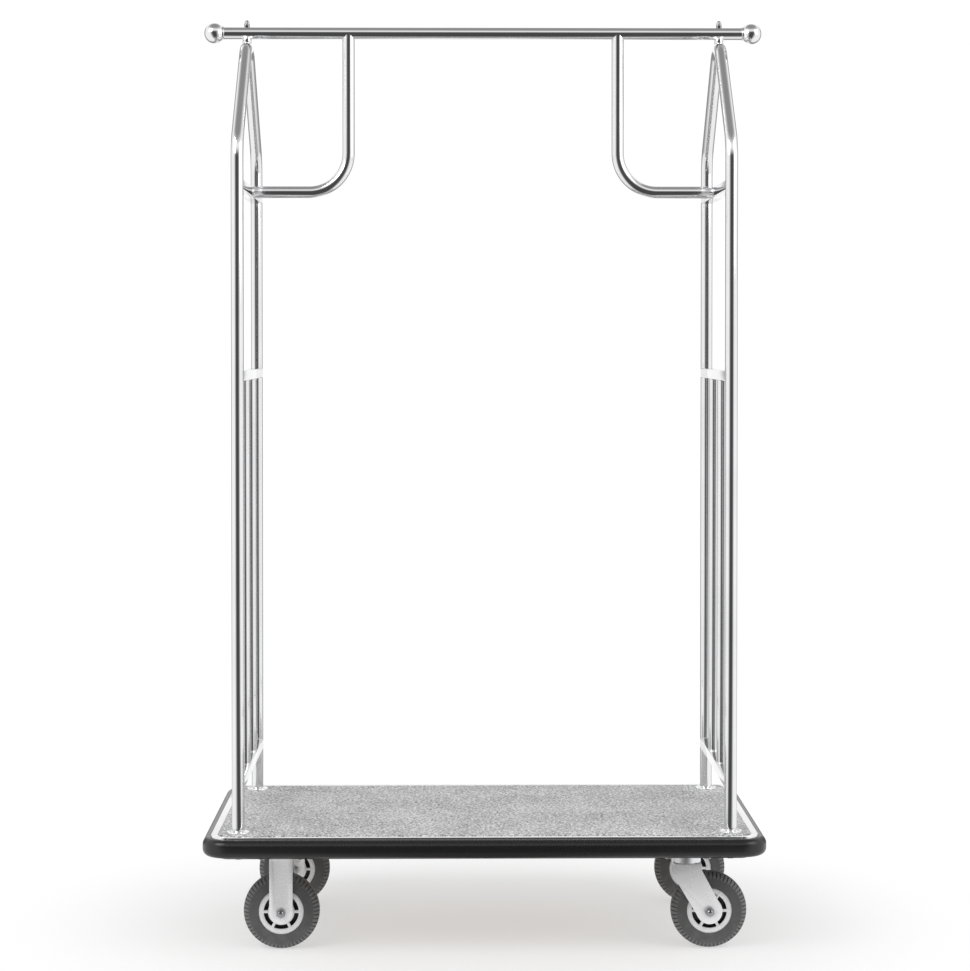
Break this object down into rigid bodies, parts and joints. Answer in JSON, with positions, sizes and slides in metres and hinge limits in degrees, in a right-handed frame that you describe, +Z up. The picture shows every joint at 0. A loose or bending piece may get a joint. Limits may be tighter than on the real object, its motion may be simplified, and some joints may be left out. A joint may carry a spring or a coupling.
{
  "type": "hotel luggage cart",
  "caption": "Carpeted deck with a rubber bumper on rigid and swivel casters, gabled tube end frames, a hanging rail with ball finials and curved hanger braces.",
  "frame": {"origin": "centre of the cart's footprint on the floor", "axes": "+X along the deck towards the swivel casters, +Y across the deck, +Z up from the floor"},
  "size_m": [1.1379, 0.62, 1.8521],
  "materials": {
    "polished_steel": "mirror-polished stainless steel",
    "carpet": "short looped heather grey pile",
    "bumper_rubber": "satin black extruded rubber",
    "plywood": "raw plywood",
    "frame_paint": "satin black powder coat",
    "zinc_steel": "bright zinc plate",
    "bearing_steel": "ground steel",
    "tyre_rubber": "non-marking grey rubber",
    "hub_plastic": "moulded light grey nylon"
  },
  "bodies": {
    "frame": {"acorn_nuts": "polished_steel", "apex_bolts": "zinc_steel", "apex_saddles": "polished_steel", "base_flanges": "polished_steel", "bumper": "bumper_rubber", "carpet": "carpet", "caster_bolts": "zinc_steel", "caster_nuts": "zinc_steel", "deck_board": "plywood", "deck_frame": "frame_paint", "edge_trims": "polished_steel", "end_hoop_left": "polished_steel", "end_hoop_right": "polished_steel", "finials": "polished_steel", "hanger_brace_left": "polished_steel", "hanger_brace_right": "polished_steel", "hanging_rail": "polished_steel", "kingpins": "zinc_steel", "lower_rail_left": "polished_steel", "lower_rail_right": "polished_steel", "post_bolts": "zinc_steel", "post_inserts": "zinc_steel", "race_balls": "bearing_steel", "race_cups": "zinc_steel", "rigid_axle_bolts": "zinc_steel", "rigid_axle_nuts": "zinc_steel", "rigid_axle_sleeves": "zinc_steel", "rigid_fork_front": "zinc_steel", "rigid_fork_rear": "zinc_steel", "shoulder_rail_left": "polished_steel", "shoulder_rail_right": "polished_steel", "spindles_left": "polished_steel", "spindles_right": "polished_steel", "swivel_plates": "zinc_steel", "trim_corners": "polished_steel", "upper_rail_left": "polished_steel", "upper_rail_right": "polished_steel"},
    "swivel_front": {"swivel_fork_front": "zinc_steel", "swivel_axle_bolt_front": "zinc_steel", "swivel_axle_nut_front": "zinc_steel", "swivel_axle_sleeve_front": "zinc_steel"},
    "wheel_left_front": {"tyre_left_front": "tyre_rubber", "wheel_hub_left_front": "hub_plastic", "bearings_left_front": "bearing_steel"},
    "wheel_right_front": {"tyre_right_front": "tyre_rubber", "wheel_hub_right_front": "hub_plastic", "bearings_right_front": "bearing_steel"},
    "swivel_rear": {"swivel_fork_rear": "zinc_steel", "swivel_axle_bolt_rear": "zinc_steel", "swivel_axle_nut_rear": "zinc_steel", "swivel_axle_sleeve_rear": "zinc_steel"},
    "wheel_left_rear": {"tyre_left_rear": "tyre_rubber", "wheel_hub_left_rear": "hub_plastic", "bearings_left_rear": "bearing_steel"},
    "wheel_right_rear": {"tyre_right_rear": "tyre_rubber", "wheel_hub_right_rear": "hub_plastic", "bearings_right_rear": "bearing_steel"}
  },
  "joints": [
    {"name": "swivel_front_turn", "type": "hinge", "parent": "frame", "child": "swivel_front", "pos_m": [0.4, -0.2, 0.168], "axis": [0, 0, 1], "continuous": true},
    {"name": "swivel_rear_turn", "type": "hinge", "parent": "frame", "child": "swivel_rear", "pos_m": [0.4, 0.2, 0.168], "axis": [0, 0, 1], "continuous": true},
    {"name": "wheel_left_front_spin", "type": "hinge", "parent": "frame", "child": "wheel_left_front", "pos_m": [-0.4, -0.2, 0.075], "axis": [0, 1, 0], "continuous": true},
    {"name": "wheel_right_front_spin", "type": "hinge", "parent": "swivel_front", "child": "wheel_right_front", "pos_m": [0.443, -0.2, 0.075], "axis": [0, 1, 0], "continuous": true},
    {"name": "wheel_left_rear_spin", "type": "hinge", "parent": "frame", "child": "wheel_left_rear", "pos_m": [-0.4, 0.2, 0.075], "axis": [0, 1, 0], "continuous": true},
    {"name": "wheel_right_rear_spin", "type": "hinge", "parent": "swivel_rear", "child": "wheel_right_rear", "pos_m": [0.443, 0.2, 0.075], "axis": [0, 1, 0], "continuous": true}
  ]
}
